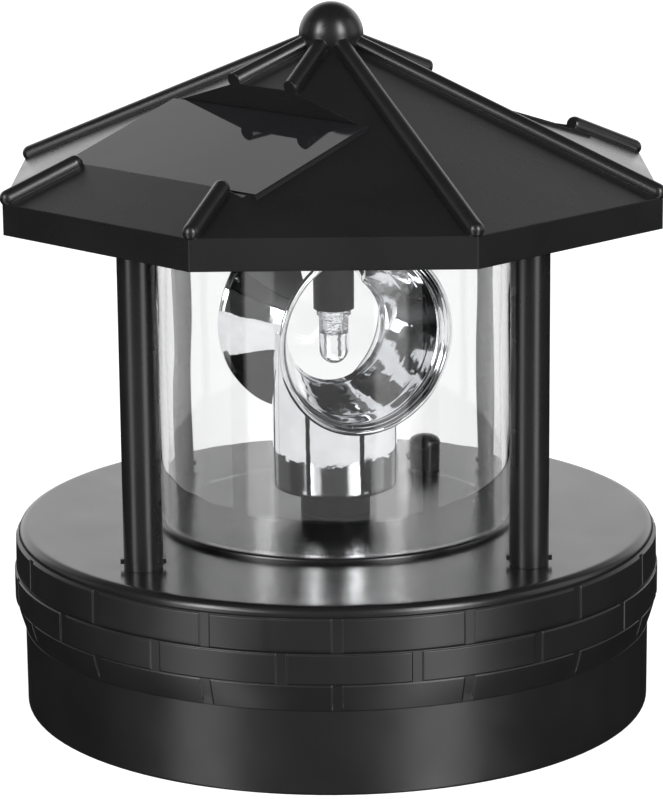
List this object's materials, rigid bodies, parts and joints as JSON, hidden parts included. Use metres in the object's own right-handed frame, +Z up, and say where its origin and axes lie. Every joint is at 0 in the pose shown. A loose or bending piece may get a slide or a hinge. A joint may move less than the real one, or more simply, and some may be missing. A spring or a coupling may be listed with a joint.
{
  "type": "solar lighthouse lamp head",
  "caption": "Round lamp head with a brick-textured base, clear lantern, rotating two-sided reflector and octagonal solar roof.",
  "frame": {"origin": "centre of the base on the surface that it stands on", "axes": "+Z up along the lamp's axis, -Y towards the front, +X to the right seen from the front"},
  "size_m": [0.1086, 0.1086, 0.1178],
  "materials": {
    "black_plastic": "satin moulded",
    "dark_plastic": "satin moulded",
    "clear_plastic": "clear polished",
    "led_epoxy": "clear epoxy",
    "mirror_plate": "vacuum metallised",
    "steel": "plated",
    "bronze_bush": "sintered",
    "gear_nylon": "moulded",
    "solar_cells": "laminated cells",
    "solar_cover": "polished resin over cells",
    "cell_wrap": "shrink wrap",
    "board_green": "solder mask",
    "component_black": "moulded",
    "switch_white": "moulded",
    "wire_red": "insulation",
    "wire_blue": "insulation"
  },
  "bodies": {
    "housing": {"base_tray": "dark_plastic", "base_cover": "black_plastic", "base_screws": "steel", "battery_cell": "cell_wrap", "cell_spring": "steel", "cell_plate": "steel", "circuit_board": "board_green", "board_components": "component_black", "board_screws": "steel", "switch_body": "steel", "motor_can": "steel", "motor_screws": "steel", "gear_frame_lower": "gear_nylon", "gear_frame_upper": "gear_nylon", "gear_frame_screws": "steel", "axle_pins": "steel", "spindle_bush": "bronze_bush", "lens_cylinder": "clear_plastic", "post_front_left": "black_plastic", "post_front_right": "black_plastic", "post_rear_left": "black_plastic", "post_rear_right": "black_plastic", "deck_hood": "black_plastic", "roof_shell": "black_plastic", "roof_ceiling": "dark_plastic", "roof_screws": "steel", "solar_panel_front": "solar_cells", "solar_cover_front": "solar_cover", "solar_panel_rear": "solar_cells", "solar_cover_rear": "solar_cover", "led_holder": "black_plastic", "led_bulb": "led_epoxy", "led_leads": "steel", "roof_wires": "wire_red", "base_wires": "wire_blue"},
    "reflector": {"spindle": "black_plastic", "output_gear": "gear_nylon", "reflector_front": "mirror_plate", "reflector_rear": "mirror_plate"},
    "gear_one": {"gear_one": "gear_nylon"},
    "gear_two": {"gear_two": "gear_nylon"},
    "motor_rotor": {"motor_shaft": "steel", "motor_pinion": "gear_nylon"},
    "switch_slider": {"switch_slider": "switch_white"},
    "battery_door": {"battery_door": "dark_plastic", "door_screws": "steel"}
  },
  "joints": [
    {"name": "reflector_spin", "type": "hinge", "parent": "housing", "child": "reflector", "pos_m": [0, 0, 0.0286], "axis": [0, 0, 1], "continuous": true},
    {"name": "gear_one_spin", "type": "hinge", "parent": "housing", "child": "gear_one", "pos_m": [0, 0.015, 0.021], "axis": [0, 0, 1], "continuous": true},
    {"name": "gear_two_spin", "type": "hinge", "parent": "housing", "child": "gear_two", "pos_m": [0.015, 0.015, 0.018], "axis": [0, 0, 1], "continuous": true},
    {"name": "motor_spin", "type": "hinge", "parent": "housing", "child": "motor_rotor", "pos_m": [0.015, 0.03, 0.018], "axis": [0, 0, 1], "continuous": true},
    {"name": "power_switch", "type": "slide", "parent": "housing", "child": "switch_slider", "axis": [1, 0, 0], "range_m": [0, 0.003]},
    {"name": "battery_door_pull", "type": "slide", "parent": "housing", "child": "battery_door", "axis": [0, 0, -1], "range_m": [0, 0.02]}
  ],
  "couplings": [
    {"joint": "gear_one_spin", "follows": "reflector_spin", "ratio": -4},
    {"joint": "gear_two_spin", "follows": "reflector_spin", "ratio": 16},
    {"joint": "motor_spin", "follows": "reflector_spin", "ratio": -64}
  ]
}
